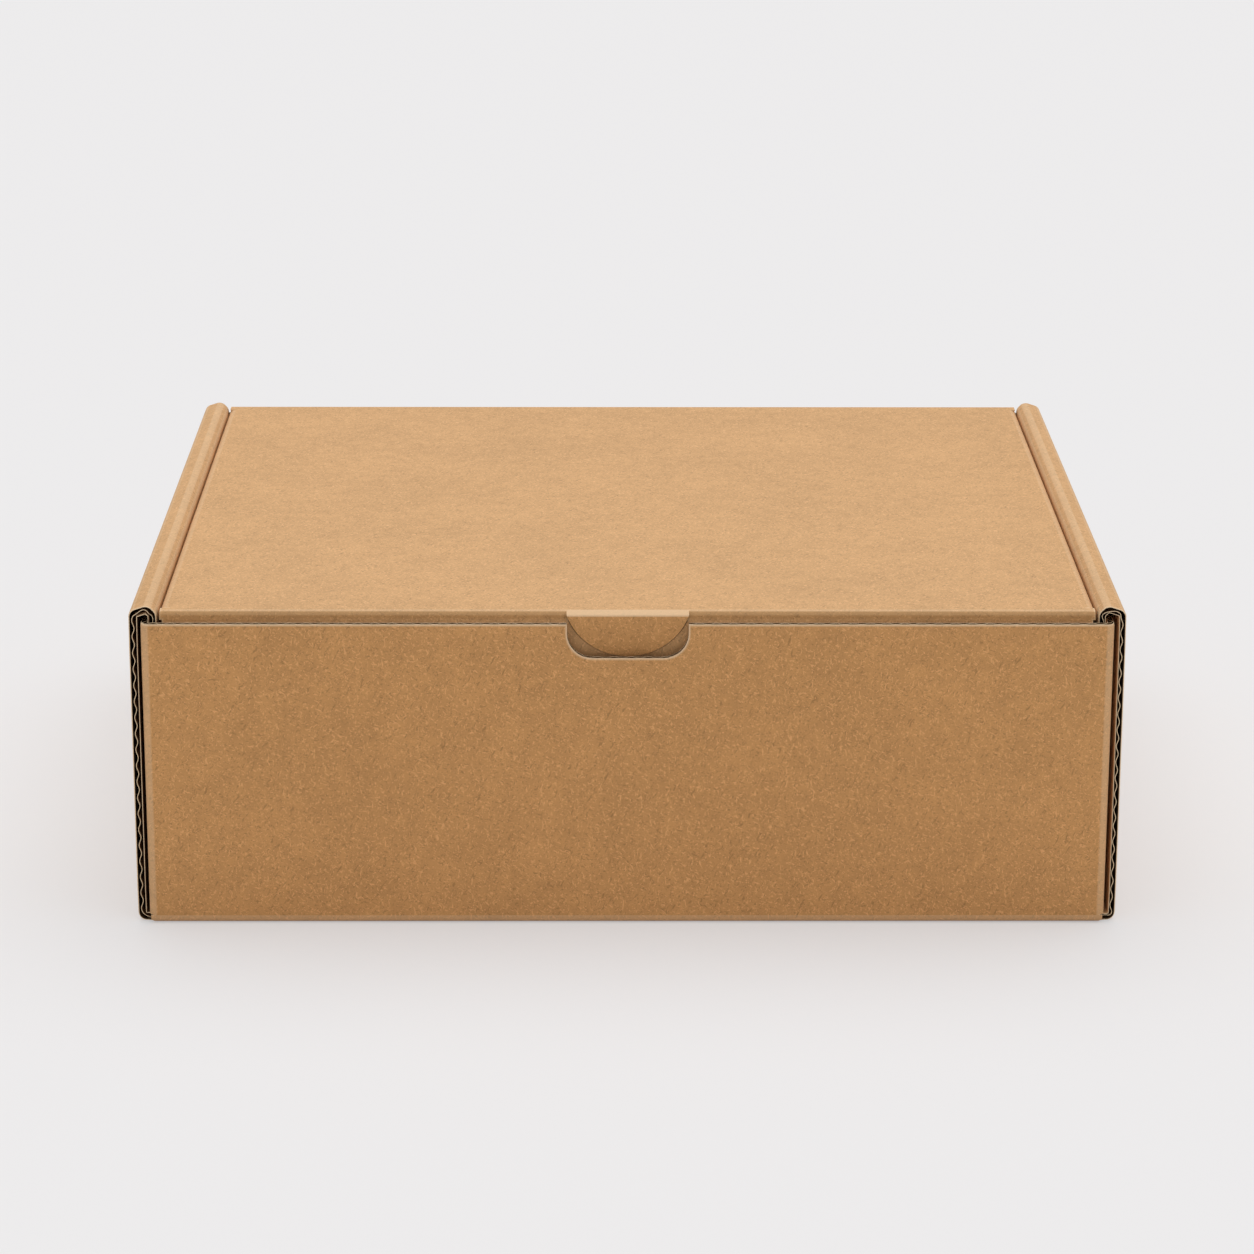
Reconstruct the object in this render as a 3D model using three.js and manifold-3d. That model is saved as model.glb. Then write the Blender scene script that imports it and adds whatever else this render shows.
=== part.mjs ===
// A shipping box folded from one die-cut sheet of brown corrugated board, without glue or tape.
// The side walls are double: each is rolled over a rim and locked with two tabs in the bottom panel, and
// holds the corner flaps of the front and back walls inside. The lid turns at the back wall's top fold. Its
// tuck flap goes down behind the front wall, where a half-moon thumb tab shows in the finger notch.
// Origin: on the table under the middle of the box. X is the width, -Y the front, +Z up, in millimetres.

import * as THREE from 'three';
import { mergeVertices } from 'three/addons/utils/BufferGeometryUtils.js';
import Module from 'manifold-3d';

const wasm = await Module();
wasm.setup();

// The board: a wavy medium glued between two liners
const BOARD = 2.9;
const FLUTE_PITCH = 6.5;
const LINER = 0.4;
const MEDIUM = 0.4;
const CELL_DEPTH = 24;

// The folds: a fold line bends round a small inner radius
const FOLD_INNER_RADIUS = 0.4;
const FOLD_STEPS = 4;

// How far straight stretches of the same board run into each other where they are joined
const LAP = 6;

// Vertices are kept to a ten-thousandth of a millimetre, so that faces of joined stretches meet exactly
const GRAIN = 1e4;

// The box outside
const WIDTH = 371;
const DEPTH = 330;
const FRONT_HEIGHT = 121.3;
const LID_HEIGHT = 125.3;
const RIM_PROUD = 0.8;
const RIM_SLOPE = 1.8;
const RIM_BEVEL = 2.2;
const CORNER_BEVEL = 1.5;

// Air between neighbouring layers of board
const LAYER_GAP = 0.3;
const SIDE_GAP = 1.7;
const LID_GAP = 0.5;

// Finger notch in the front wall
const NOTCH_WIDTH = 46.4;
const NOTCH_DEPTH = 13.4;
const NOTCH_RADIUS = 9.7;

// Corner flaps between the side walls
const FLAP_LENGTH = 85;
const FLAP_BEVEL = 8;
const FLAP_LIFT = 0.5;

// Locking tabs of the inner side walls, and their slots in the bottom panel
const TAB_LENGTH = 40;
const TAB_SPACING = 150;
const TAB_END = 0.4;
const SLOT_PLAY = 0.4;

// The lid's tuck flap, thumb tab and ears
const TUCK_DEPTH = 44;
const TUCK_LEAN = THREE.MathUtils.degToRad( 4.6 );
const TUCK_SIDE_PLAY = 1.5;
const TUCK_CORNER = 12;
const THUMB_RADIUS = 24.8;
const THUMB_RISE = 7;
const THUMB_TOP = 0.8;
const THUMB_PROUD = 0.7;
const THUMB_SLIT = 0.4;
const EAR_DEPTH = 45;
const EAR_LENGTH = 300;
const EAR_FRONT_RADIUS = 36;
const EAR_BACK_RADIUS = 20;

// Worked out from the values above. A fold's outer radius is the board wrapped round its inner radius.
const MIDDLE = BOARD / 2;
const FOLD_MIDDLE_RADIUS = FOLD_INNER_RADIUS + MIDDLE;
const FOLD_OUTER_RADIUS = FOLD_INNER_RADIUS + BOARD;
const FRONT_FACE = DEPTH / 2;
const FRONT_INSIDE = FRONT_FACE - BOARD;
const CORNER_FACE = WIDTH / 2;
const OUTER_WALL = CORNER_FACE + SIDE_GAP;
const INNER_WALL = CORNER_FACE - BOARD - LAYER_GAP - BOARD;
const SIDE_END = FRONT_INSIDE - 2 * LAYER_GAP;
const LID_HALF = INNER_WALL - LID_GAP;
const LID_FRONT = FRONT_INSIDE - LAYER_GAP;
const LID_UNDERSIDE = LID_HEIGHT - BOARD;
const BACK_HEIGHT = LID_UNDERSIDE - LAYER_GAP;
const RIM_OUTER_HEIGHT = LID_HEIGHT + RIM_PROUD;
const RIM_INNER_HEIGHT = RIM_OUTER_HEIGHT + RIM_SLOPE;
const FLAP_BOTTOM = BOARD + FLAP_LIFT;

// An arc as a list of points, from one angle to another in degrees
function arc( u, v, radius, from, to, steps ) {

	return Array.from( { length: steps + 1 }, ( _, i ) => {

		const angle = THREE.MathUtils.degToRad( from + ( to - from ) * i / steps );
		return [ u + radius * Math.cos( angle ), v + radius * Math.sin( angle ) ];

	} );

}

// The middle line of a folded sheet: straight between its corners, and bent round a radius at each of them
function foldLine( corners ) {

	const points = corners.map( ( corner ) => new THREE.Vector2( ...corner ) );
	const line = [ points[ 0 ] ];
	for ( let i = 1; i < points.length - 1; i ++ ) {

		const back = points[ i - 1 ].clone().sub( points[ i ] ).normalize();
		const ahead = points[ i + 1 ].clone().sub( points[ i ] ).normalize();
		const opening = Math.acos( back.dot( ahead ) );
		const turn = Math.sign( ahead.cross( back ) ) * ( Math.PI - opening );
		const toCentre = back.clone().add( ahead ).setLength( FOLD_MIDDLE_RADIUS / Math.sin( opening / 2 ) );
		const centre = points[ i ].clone().add( toCentre );
		const start = points[ i ].clone().addScaledVector( back, FOLD_MIDDLE_RADIUS / Math.tan( opening / 2 ) );
		const steps = Math.max( 1, Math.round( FOLD_STEPS * Math.abs( turn ) / ( Math.PI / 2 ) ) );
		for ( let k = 0; k <= steps; k ++ ) line.push( start.clone().rotateAround( centre, turn * k / steps ) );

	}

	line.push( points.at( - 1 ) );
	return line;

}

// The section of a folded sheet: its middle line with half a board on either side
function foldedSection( corners ) {

	const line = foldLine( corners );
	const normals = line.slice( 1 ).map( ( point, i ) => {

		const along = point.clone().sub( line[ i ] ).normalize();
		return new THREE.Vector2( - along.y, along.x );

	} );
	const offsets = line.map( ( _, i ) => {

		const before = normals[ Math.max( i - 1, 0 ) ];
		const after = normals[ Math.min( i, normals.length - 1 ) ];
		const mitre = before.clone().add( after ).normalize();
		return mitre.multiplyScalar( MIDDLE / mitre.dot( after ) );

	} );
	const oneSide = line.map( ( point, i ) => point.clone().add( offsets[ i ] ).toArray() );
	const otherSide = line.map( ( point, i ) => point.clone().sub( offsets[ i ] ).toArray() );
	return [ ...oneSide, ...otherSide.reverse() ];

}

// The open cells of the medium along a straight stretch of section, pointing at either liner in turn
function fluteCells( from, to ) {

	const start = new THREE.Vector2( ...from );
	const along = new THREE.Vector2( ...to ).sub( start );
	const length = along.length();
	along.normalize();
	const across = new THREE.Vector2( - along.y, along.x );
	const base = MIDDLE - LINER;
	const apex = base - MEDIUM;
	const reach = FLUTE_PITCH / 2 - MEDIUM;
	const count = Math.floor( ( length - 2 * reach ) / ( FLUTE_PITCH / 2 ) ) + 1;
	const first = ( length - ( count - 1 ) * FLUTE_PITCH / 2 ) / 2;
	return Array.from( { length: count }, ( _, i ) => {

		const side = i % 2 ? 1 : - 1;
		const middle = first + i * FLUTE_PITCH / 2;
		const corners = [ [ - reach, - base ], [ reach, - base ], [ MEDIUM, apex ], [ - MEDIUM, apex ] ];
		return corners.map( ( [ u, v ] ) => start.clone()
			.addScaledVector( along, middle + u )
			.addScaledVector( across, side * v )
			.toArray() );

	} );

}

// A closed three.js geometry as a solid that can be joined and cut
function solidOf( geometry ) {

	geometry.deleteAttribute( 'normal' );
	geometry.deleteAttribute( 'uv' );
	const merged = mergeVertices( geometry );
	const mesh = new wasm.Mesh( {
		numProp: 3,
		vertProperties: Float32Array.from( merged.attributes.position.array, ( v ) => Math.round( v * GRAIN ) / GRAIN ),
		triVerts: Uint32Array.from( merged.index.array ),
	} );
	return new wasm.Manifold( mesh );

}

// One or more outlines extruded along X (drawn in Y, Z), along Y (drawn in X, Z) or along Z (drawn in X, Y)
const DIRECTIONS = {
	x: new THREE.Matrix4().makeBasis( new THREE.Vector3( 0, 1, 0 ), new THREE.Vector3( 0, 0, 1 ),
		new THREE.Vector3( 1, 0, 0 ) ),
	y: new THREE.Matrix4().makeBasis( new THREE.Vector3( 1, 0, 0 ), new THREE.Vector3( 0, 0, 1 ),
		new THREE.Vector3( 0, - 1, 0 ) ),
	z: new THREE.Matrix4(),
};

function extrude( outlines, along, from, to, placing = new THREE.Matrix4() ) {

	const shapes = outlines.map( ( outline ) => new THREE.Shape( outline.map( ( p ) => new THREE.Vector2( ...p ) ) ) );
	const geometry = new THREE.ExtrudeGeometry( shapes, { depth: to - from, bevelEnabled: false } );
	geometry.translate( 0, 0, along === 'y' ? - to : from );
	geometry.applyMatrix4( DIRECTIONS[ along ] ).applyMatrix4( placing );
	return solidOf( geometry );

}

// A plain block between two corners, used to trim
function block( x0, x1, y0, y1, z0, z1 ) {

	const geometry = new THREE.BoxGeometry( x1 - x0, y1 - y0, z1 - z0 );
	geometry.translate( ( x0 + x1 ) / 2, ( y0 + y1 ) / 2, ( z0 + z1 ) / 2 );
	return solidOf( geometry );

}

function join( solids ) {

	return solids.reduce( ( whole, solid ) => whole.add( solid ) );

}

function cut( solid, tools ) {

	return tools.reduce( ( rest, tool ) => rest.subtract( tool ), solid );

}

function meshOf( name, solid, material ) {

	const { vertProperties, triVerts } = solid.getMesh();
	const geometry = new THREE.BufferGeometry();
	geometry.setAttribute( 'position', new THREE.BufferAttribute( vertProperties, 3 ) );
	geometry.setIndex( new THREE.BufferAttribute( triVerts, 1 ) );
	const mesh = new THREE.Mesh( geometry, material );
	mesh.name = name;
	return mesh;

}

const SIDES = [ - 1, 1 ];

// Front wall, bottom panel and back wall: one strip of board, folded up at the front and at the back.
// Above the bottom fold it stops short of the corners, and below them it ends in a small 45 degree web.
function frontBottomBack() {

	const section = foldedSection( [
		[ - FRONT_FACE + MIDDLE, FRONT_HEIGHT ],
		[ - FRONT_FACE + MIDDLE, MIDDLE ],
		[ FRONT_FACE - MIDDLE, MIDDLE ],
		[ FRONT_FACE - MIDDLE, BACK_HEIGHT ],
	] );
	const end = CORNER_FACE - CORNER_BEVEL / 2;
	const strip = extrude( [ section ], 'x', - end, end );
	const trims = SIDES.flatMap( ( side ) => [
		extrude( [ [
			[ side * ( CORNER_FACE - LAP ), FLAP_BOTTOM ],
			[ side * WIDTH, FLAP_BOTTOM ],
			[ side * WIDTH, LID_HEIGHT ],
			[ side * ( CORNER_FACE - LAP ), LID_HEIGHT ],
		] ], 'y', - DEPTH, DEPTH ),
		extrude( [ [
			[ side * ( end - 2 * CORNER_BEVEL ), - CORNER_BEVEL ],
			[ side * ( end + CORNER_BEVEL ), - CORNER_BEVEL ],
			[ side * ( end + CORNER_BEVEL ), 2 * CORNER_BEVEL ],
		] ], 'y', - DEPTH, DEPTH ),
	] );
	return cut( strip, trims );

}

// Where a wall turns the corner into its corner flap, and the flap itself with its far corners cut off
function cornerFlap( side, end ) {

	const top = ( end < 0 ? FRONT_HEIGHT : BACK_HEIGHT );
	const turn = foldedSection( [
		[ side * ( CORNER_FACE - 2 * LAP ), end * ( FRONT_FACE - MIDDLE ) ],
		[ side * ( CORNER_FACE - MIDDLE ), end * ( FRONT_FACE - MIDDLE ) ],
		[ side * ( CORNER_FACE - MIDDLE ), end * ( FRONT_FACE - 2 * LAP ) ],
	] );
	const near = end * ( FRONT_FACE - LAP );
	const far = end * ( FRONT_FACE - FLAP_LENGTH );
	const plate = [
		[ near, FLAP_BOTTOM ],
		[ far + end * FLAP_BEVEL, FLAP_BOTTOM ],
		[ far, FLAP_BOTTOM + FLAP_BEVEL ],
		[ far, top - FLAP_BEVEL ],
		[ far + end * FLAP_BEVEL, top ],
		[ near, top ],
	];
	const faces = [ side * ( CORNER_FACE - BOARD ), side * CORNER_FACE ];
	return extrude( [ turn ], 'z', FLAP_BOTTOM, top )
		.add( extrude( [ plate ], 'x', Math.min( ...faces ), Math.max( ...faces ) ) );

}

// One side of the box: up from the bottom panel, over the rim and down again as the inner side wall
const RIM_OUTER_CREASE = [ OUTER_WALL + MIDDLE, RIM_OUTER_HEIGHT - MIDDLE ];
const RIM_INNER_CREASE = [ INNER_WALL + MIDDLE + RIM_BEVEL, RIM_INNER_HEIGHT - MIDDLE ];
const RIM_BEVEL_END = [ INNER_WALL + MIDDLE, RIM_INNER_HEIGHT - MIDDLE - RIM_BEVEL ];

function doubleSideWall( side ) {

	const corners = [
		[ INNER_WALL - LAP, MIDDLE ],
		[ OUTER_WALL + MIDDLE, MIDDLE ],
		RIM_OUTER_CREASE,
		RIM_INNER_CREASE,
		RIM_BEVEL_END,
		[ INNER_WALL + MIDDLE, BOARD + LAYER_GAP ],
	];
	const section = foldedSection( corners.map( ( [ x, z ] ) => [ side * x, z ] ) );
	return extrude( [ section ], 'y', - SIDE_END, SIDE_END );

}

// Locking tabs: the inner side wall's lower edge goes on down into two slots of the bottom panel
function tabBlock( side, y, play, low, high ) {

	const faces = [ side * ( INNER_WALL - play ), side * ( INNER_WALL + BOARD + play ) ];
	const half = TAB_LENGTH / 2 + play;
	return block( Math.min( ...faces ), Math.max( ...faces ), y - half, y + half, low, high );

}

// The finger notch: a shallow cut-out with round lower corners
function notch() {

	const inner = NOTCH_WIDTH / 2 - NOTCH_RADIUS;
	const low = FRONT_HEIGHT - NOTCH_DEPTH + NOTCH_RADIUS;
	const outline = [
		[ - NOTCH_WIDTH / 2, FRONT_HEIGHT + BOARD ],
		...arc( - inner, low, NOTCH_RADIUS, 180, 270, 6 ),
		...arc( inner, low, NOTCH_RADIUS, 270, 360, 6 ),
		[ NOTCH_WIDTH / 2, FRONT_HEIGHT + BOARD ],
	];
	return extrude( [ outline ], 'y', - FRONT_FACE - BOARD, - FRONT_INSIDE + BOARD );

}

// Open flutes on the cut edges: upright in the front wall and the corner flaps, lengthwise in the side walls
function trayFlutes() {

	const frontMiddle = - FRONT_FACE + MIDDLE;
	const frontHalf = CORNER_FACE - FOLD_OUTER_RADIUS;
	const cells = [
		extrude( fluteCells( [ - frontHalf, frontMiddle ], [ frontHalf, frontMiddle ] ), 'z',
			FRONT_HEIGHT - CELL_DEPTH, FRONT_HEIGHT + BOARD ),
	];
	for ( const side of SIDES ) {

		const flapMiddle = side * ( CORNER_FACE - MIDDLE );
		const foot = [ OUTER_WALL + MIDDLE, FOLD_INNER_RADIUS + MIDDLE ];
		const head = [ OUTER_WALL + MIDDLE, RIM_OUTER_HEIGHT - FOLD_OUTER_RADIUS ];
		const stretches = [ [ foot, head ], [ RIM_OUTER_CREASE, RIM_INNER_CREASE ] ];
		const section = stretches.flatMap( ( ends ) => fluteCells( ...ends.map( ( [ x, z ] ) => [ side * x, z ] ) ) );
		for ( const end of SIDES ) {

			const top = ( end < 0 ? FRONT_HEIGHT : BACK_HEIGHT );
			const near = end * ( FRONT_FACE - FOLD_OUTER_RADIUS );
			const far = end * ( FRONT_FACE - FLAP_LENGTH + FLAP_BEVEL );
			cells.push( extrude( fluteCells( [ flapMiddle, near ], [ flapMiddle, far ] ), 'z',
				top - CELL_DEPTH, top + BOARD ) );
			const reach = [ end * ( SIDE_END - CELL_DEPTH ), end * ( SIDE_END + BOARD ) ];
			cells.push( extrude( section, 'y', Math.min( ...reach ), Math.max( ...reach ) ) );

		}

	}

	return cells;

}

function tray() {

	const boards = [ frontBottomBack() ];
	const slots = [];
	const tabs = [];
	for ( const side of SIDES ) {

		boards.push( doubleSideWall( side ) );
		for ( const end of SIDES ) {

			boards.push( cornerFlap( side, end ) );
			const y = end * TAB_SPACING / 2;
			slots.push( tabBlock( side, y, SLOT_PLAY, - BOARD, BOARD + LAYER_GAP / 2 ) );
			tabs.push( tabBlock( side, y, 0, TAB_END, 2 * BOARD ) );

		}

	}

	return cut( cut( join( boards ), slots ).add( join( tabs ) ), [ notch(), ...trayFlutes() ] );

}

// Lid panel and tuck flap: one strip of board, folded down at the front and rounded at the back fold.
// The flap leans inwards by a few degrees, so that its edge clears the front wall when the lid lifts.
const TUCK_FOLD = new THREE.Vector3( 0, - LID_FRONT + MIDDLE, LID_HEIGHT - MIDDLE );
const TUCK_END = [
	TUCK_FOLD.y + ( TUCK_DEPTH - MIDDLE ) * Math.tan( TUCK_LEAN ),
	LID_HEIGHT - TUCK_DEPTH,
];

function lidStrip() {

	const section = foldedSection( [
		TUCK_END,
		[ TUCK_FOLD.y, TUCK_FOLD.z ],
		[ FRONT_FACE - LAP, LID_HEIGHT - MIDDLE ],
	] );
	const backFold = [
		[ FRONT_FACE - 2 * LAP, LID_UNDERSIDE ],
		[ FRONT_FACE, LID_UNDERSIDE ],
		...arc( FRONT_FACE - FOLD_OUTER_RADIUS, LID_HEIGHT - FOLD_OUTER_RADIUS, FOLD_OUTER_RADIUS, 10, 90, FOLD_STEPS ),
		[ FRONT_FACE - 2 * LAP, LID_HEIGHT ],
	];
	const edge = LID_HALF - LID_GAP;
	return extrude( [ section ], 'x', - edge, edge ).add( extrude( [ backFold ], 'x', - edge, edge ) );

}

// An ear folds down from the lid's side edge. Its lower corners are round, the front one more so.
function ear( side ) {

	const low = LID_HEIGHT - EAR_DEPTH;
	const end = EAR_LENGTH / 2;
	const fold = foldedSection( [
		[ side * ( LID_HALF - 2 * LAP ), LID_HEIGHT - MIDDLE ],
		[ side * ( LID_HALF - MIDDLE ), LID_HEIGHT - MIDDLE ],
		[ side * ( LID_HALF - MIDDLE ), LID_HEIGHT - 2 * LAP ],
	] );
	const plate = [
		[ - end, LID_HEIGHT - LAP ],
		...arc( - end + EAR_FRONT_RADIUS, low + EAR_FRONT_RADIUS, EAR_FRONT_RADIUS, 180, 270, 8 ),
		...arc( end - EAR_BACK_RADIUS, low + EAR_BACK_RADIUS, EAR_BACK_RADIUS, 270, 360, 6 ),
		[ end, LID_HEIGHT - LAP ],
	];
	const faces = [ side * ( LID_HALF - BOARD ), side * LID_HALF ];
	return extrude( [ fold ], 'y', - end, end )
		.add( extrude( [ plate ], 'x', Math.min( ...faces ), Math.max( ...faces ) ) );

}

// The half-moon of the thumb tab, drawn with its round edge moved in or out by half the slit
function thumbOutline( spread ) {

	const radius = THUMB_RADIUS + spread;
	const centre = LID_HEIGHT + THUMB_RISE;
	const top = LID_HEIGHT - THUMB_TOP + spread;
	const start = THREE.MathUtils.radToDeg( Math.asin( ( centre - top ) / radius ) );
	return arc( 0, centre, radius, - 180 + start, - start, 16 );

}

// Leans a piece drawn upright at the tuck flap's place by the flap's own angle
function leaning() {

	const about = new THREE.Matrix4().makeTranslation( TUCK_FOLD );
	const lean = new THREE.Matrix4().makeRotationX( TUCK_LEAN );
	return about.clone().multiply( lean ).multiply( about.clone().invert() );

}

function thumbTab() {

	const front = - LID_FRONT - THUMB_PROUD;
	return extrude( [ thumbOutline( - THUMB_SLIT / 2 ) ], 'y', front, front + BOARD, leaning() );

}

// The slit round the tab is open to the lid's top edge, where the tab hangs on the fold
function thumbSlit() {

	const through = extrude( [ thumbOutline( THUMB_SLIT / 2 ) ], 'y', - FRONT_FACE, - LID_FRONT + 2 * BOARD, leaning() );
	return through.subtract( block( - WIDTH, WIDTH, - DEPTH, DEPTH, LID_UNDERSIDE, LID_HEIGHT + BOARD ) );

}

// Trims the tuck flap's ends beside the ears and cuts its lower corners off
function tuckTrims() {

	const high = LID_UNDERSIDE - LAYER_GAP;
	const low = LID_HEIGHT - TUCK_DEPTH;
	const half = LID_HALF - TUCK_SIDE_PLAY;
	return SIDES.map( ( side ) => extrude( [ [
		[ side * WIDTH, high ],
		[ side * half, high ],
		[ side * half, low + TUCK_CORNER ],
		[ side * ( half - TUCK_CORNER ), low ],
		[ side * ( half - TUCK_CORNER ), low - BOARD ],
		[ side * WIDTH, low - BOARD ],
	] ], 'y', - FRONT_FACE, - LID_FRONT + 4 * BOARD ) );

}

// Open flutes on the lid's cut edges: the tuck flap's lower edge and the ears' ends
function lidFlutes() {

	const half = LID_HALF - TUCK_SIDE_PLAY - TUCK_CORNER;
	const low = LID_HEIGHT - TUCK_DEPTH;
	const cells = [
		extrude( fluteCells( [ - half, TUCK_FOLD.y ], [ half, TUCK_FOLD.y ] ), 'z', low - BOARD, low + TUCK_CORNER,
			leaning() ),
	];
	for ( const side of SIDES ) {

		const middle = side * ( LID_HALF - MIDDLE );
		const section = fluteCells( [ middle, LID_HEIGHT - FOLD_OUTER_RADIUS ], [ middle, LID_HEIGHT - EAR_DEPTH ] );
		const end = EAR_LENGTH / 2;
		cells.push( extrude( section, 'y', - end - BOARD, - end + EAR_FRONT_RADIUS ) );
		cells.push( extrude( section, 'y', end - EAR_BACK_RADIUS, end + BOARD ) );

	}

	return cells;

}

function lid() {

	const end = EAR_LENGTH / 2;
	const fold = LID_HALF - LAP;
	const room = SIDES.map( ( side ) => block( Math.min( side * fold, side * WIDTH ), Math.max( side * fold, side * WIDTH ),
		- end, end, 0, LID_HEIGHT + BOARD ) );
	const strip = cut( lidStrip(), [ ...room, ...tuckTrims(), thumbSlit() ] );
	const whole = join( [ strip, thumbTab(), ...SIDES.map( ear ) ] );
	return cut( whole, lidFlutes() );

}

// Brown kraft liner: dull, a little darker on the upright walls than on the lid
const trayBoard = new THREE.MeshStandardMaterial( { color: 0xb98d5e, roughness: 0.85, metalness: 0 } );
const lidBoard = new THREE.MeshStandardMaterial( { color: 0xc99f6f, roughness: 0.85, metalness: 0 } );

const box = new THREE.Group();
box.add( meshOf( 'tray', tray(), trayBoard ) );
box.add( meshOf( 'lid', lid(), lidBoard ) );

export default box;
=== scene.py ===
import math

import bmesh
import bpy
from mathutils import Matrix, Vector


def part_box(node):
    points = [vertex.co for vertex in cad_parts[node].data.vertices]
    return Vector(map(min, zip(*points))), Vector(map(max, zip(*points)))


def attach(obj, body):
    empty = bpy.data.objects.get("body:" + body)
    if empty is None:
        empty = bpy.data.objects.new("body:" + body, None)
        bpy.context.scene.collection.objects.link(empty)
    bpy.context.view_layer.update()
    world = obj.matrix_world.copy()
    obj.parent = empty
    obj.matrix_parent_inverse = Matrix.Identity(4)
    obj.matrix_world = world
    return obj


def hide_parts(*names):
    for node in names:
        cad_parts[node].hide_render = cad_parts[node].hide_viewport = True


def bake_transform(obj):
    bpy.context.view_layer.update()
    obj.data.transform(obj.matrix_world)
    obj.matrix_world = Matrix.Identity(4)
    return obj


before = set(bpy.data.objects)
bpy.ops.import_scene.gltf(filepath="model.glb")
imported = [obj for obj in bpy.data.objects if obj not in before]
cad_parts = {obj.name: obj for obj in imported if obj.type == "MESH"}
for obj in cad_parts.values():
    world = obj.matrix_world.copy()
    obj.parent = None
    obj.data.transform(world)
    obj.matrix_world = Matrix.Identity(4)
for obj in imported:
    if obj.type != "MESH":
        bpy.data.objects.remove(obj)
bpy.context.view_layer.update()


# Bottom panel
# The middle of the die-cut sheet: two brown kraft liners with a wavy medium glued between them.
# Its front and back edges fold up into the walls, and two slots near each side take the locking tabs.
tray_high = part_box("tray")[1]
lid_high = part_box("lid")[1]

BOARD = 0.0029
LINER = 0.00042
MEDIUM = 0.00024
FLUTE_PITCH = 0.0065
WAVE = 0.00085
WAVE_PARTS = 10
FOLD_RADIUS = 0.00185
FOLD_PARTS = 8
FOLD_STEP_MOST = 0.0009  # edges shorter than this lie on a fold's arc
# Fold arcs are painted lighter by this much: partly crease wear, partly a painted highlight
FOLD_WEAR_AND_HIGHLIGHT = 0.30
CRUSHED_EDGE = 0.0009
CRUSH_DEPTH = 0.00022
SEAM_PLAY = 0.00005  # a point this close to a seam's place lies on the seam
SHARP_ANGLE = math.radians(30)
FLAP_BOTTOM = 0.0034
SIDE_GAP = 0.0017
LAYER_GAP = 0.0003
BOTTOM_PAST_CORNER = 0.0007
half_board = BOARD / 2
wall_y = tray_high.y - half_board
side_x = tray_high.x - half_board
corner_x = side_x - BOARD - SIDE_GAP
inner_x = corner_x - BOARD - LAYER_GAP
side_end = tray_high.y - BOARD - 2 * LAYER_GAP
bottom_end = corner_x + BOTTOM_PAST_CORNER
FACE, INSIDE, CUT = 0, 1, 2


def at(point, along, place):
    """A point of a section drawn across one axis, set at a place on that axis."""
    first, second, third = {"x": (1, 2, 0), "y": (0, 2, 1), "z": (0, 1, 2)}[along]
    result = Vector((0, 0, 0))
    result[first], result[second], result[third] = point[0], point[1], place
    return result


def folded_line(corners, offset):
    """The line of one layer of a folded board, drawn so that the box's inside is on its left."""
    points = [Vector(corner[:2]) for corner in corners]
    ways = [(b - a).normalized() for a, b in zip(points, points[1:])]
    wire = bmesh.new()
    verts = []
    for i, point in enumerate(points):
        after = ways[min(i, len(ways) - 1)]
        mitre = (ways[max(i - 1, 0)] + after).normalized()
        left = Vector((-mitre.y, mitre.x))
        verts.append(wire.verts.new((*(point + left * offset / mitre.dot(after)), 0)))
    for pair in zip(verts, verts[1:]):
        wire.edges.new(pair)
    for i, vert in enumerate(verts[1:-1], 1):
        turn = -ways[i - 1].angle_signed(ways[i])
        radius = corners[i][2] if len(corners[i]) > 2 else FOLD_RADIUS
        bend = radius - offset if turn > 0 else radius + offset
        bmesh.ops.bevel(wire, geom=[vert], offset=bend * math.tan(abs(turn) / 2), segments=FOLD_PARTS,
                        profile=0.5, affect="VERTICES", material=-1)
    vert, edge = verts[0], None
    line = [vert.co.xy.copy()]
    while True:
        ahead = [e for e in vert.link_edges if e is not edge]
        if not ahead:
            break
        edge = ahead[0]
        vert = edge.other_vert(vert)
        line.append(vert.co.xy.copy())
    wire.free()
    return line


def wavy_line(line, wave, shift):
    """A line with the medium's waves along it."""
    ends = [0.0]
    for a, b in zip(line, line[1:]):
        ends.append(ends[-1] + (b - a).length)
    count = round(ends[-1] / FLUTE_PITCH * WAVE_PARTS)
    result, i = [], 0
    for k in range(count + 1):
        reach = min(ends[-1] * k / count, ends[-1])
        while ends[i + 1] < reach - 1e-9 and i < len(line) - 2:
            i += 1
        way = (line[i + 1] - line[i]).normalized()
        left = Vector((-way.y, way.x))
        height = shift + wave * math.sin(reach / FLUTE_PITCH * math.tau)
        result.append(line[i] + way * (reach - ends[i]) + left * height)
    return result


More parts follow.
